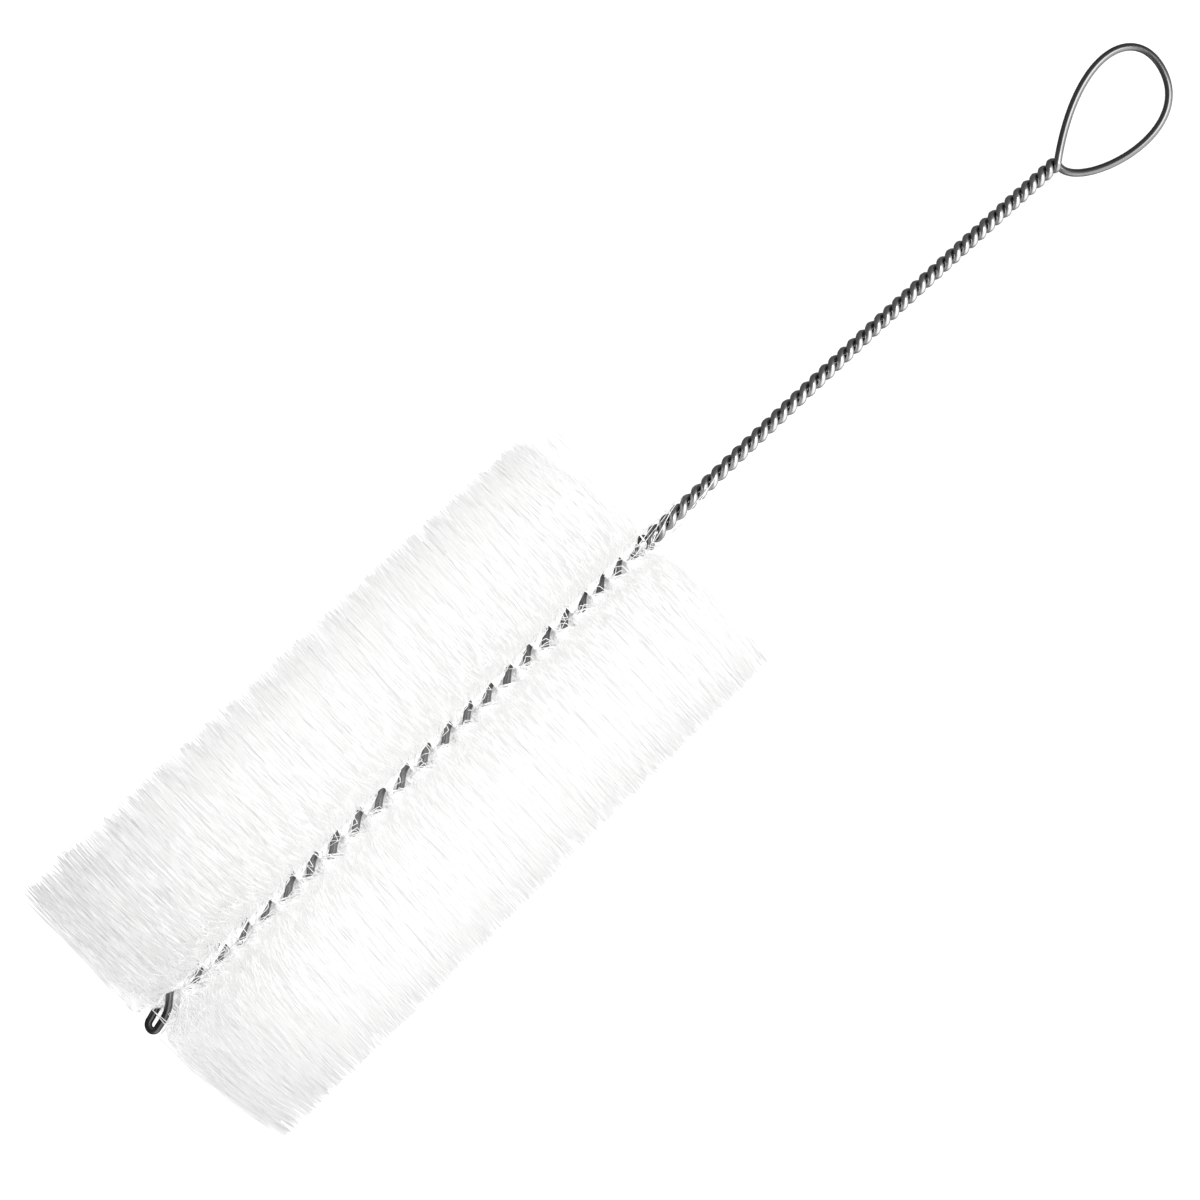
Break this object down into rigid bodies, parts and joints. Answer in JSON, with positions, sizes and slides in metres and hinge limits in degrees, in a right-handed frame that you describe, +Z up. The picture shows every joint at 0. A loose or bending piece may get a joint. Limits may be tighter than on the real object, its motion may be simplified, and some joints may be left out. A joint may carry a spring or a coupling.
{
  "type": "bottle brush",
  "caption": "Bottle brush with radial nylon filaments held in a left-hand twisted steel wire stem that ends in a ring handle.",
  "frame": {"origin": "middle of the brush's bounding box, on the surface that the brush lies on", "axes": "+X runs along the brush from the tip to the ring handle, +Z up; the wire slopes down 1.1 degrees towards the ring"},
  "size_m": [0.2673, 0.0657, 0.0655],
  "materials": {
    "wire_steel": "bright drawn steel wire with a smooth sheen",
    "white_nylon": "stiff translucent white nylon filament, slightly glossy"
  },
  "bodies": {
    "root": {"twisted_wire": "wire_steel", "bristle_bundle_01": "white_nylon", "bristle_bundle_02": "white_nylon", "bristle_bundle_03": "white_nylon", "bristle_bundle_04": "white_nylon", "bristle_bundle_05": "white_nylon", "bristle_bundle_06": "white_nylon", "bristle_bundle_07": "white_nylon", "bristle_bundle_08": "white_nylon", "bristle_bundle_09": "white_nylon", "bristle_bundle_10": "white_nylon", "bristle_bundle_11": "white_nylon", "bristle_bundle_12": "white_nylon", "bristle_bundle_13": "white_nylon", "bristle_bundle_14": "white_nylon", "bristle_bundle_15": "white_nylon", "bristle_bundle_16": "white_nylon", "bristle_bundle_17": "white_nylon", "bristle_bundle_18": "white_nylon", "bristle_bundle_19": "white_nylon", "bristle_bundle_20": "white_nylon", "bristle_bundle_21": "white_nylon", "bristle_bundle_22": "white_nylon", "bristle_bundle_23": "white_nylon"}
  },
  "joints": []
}
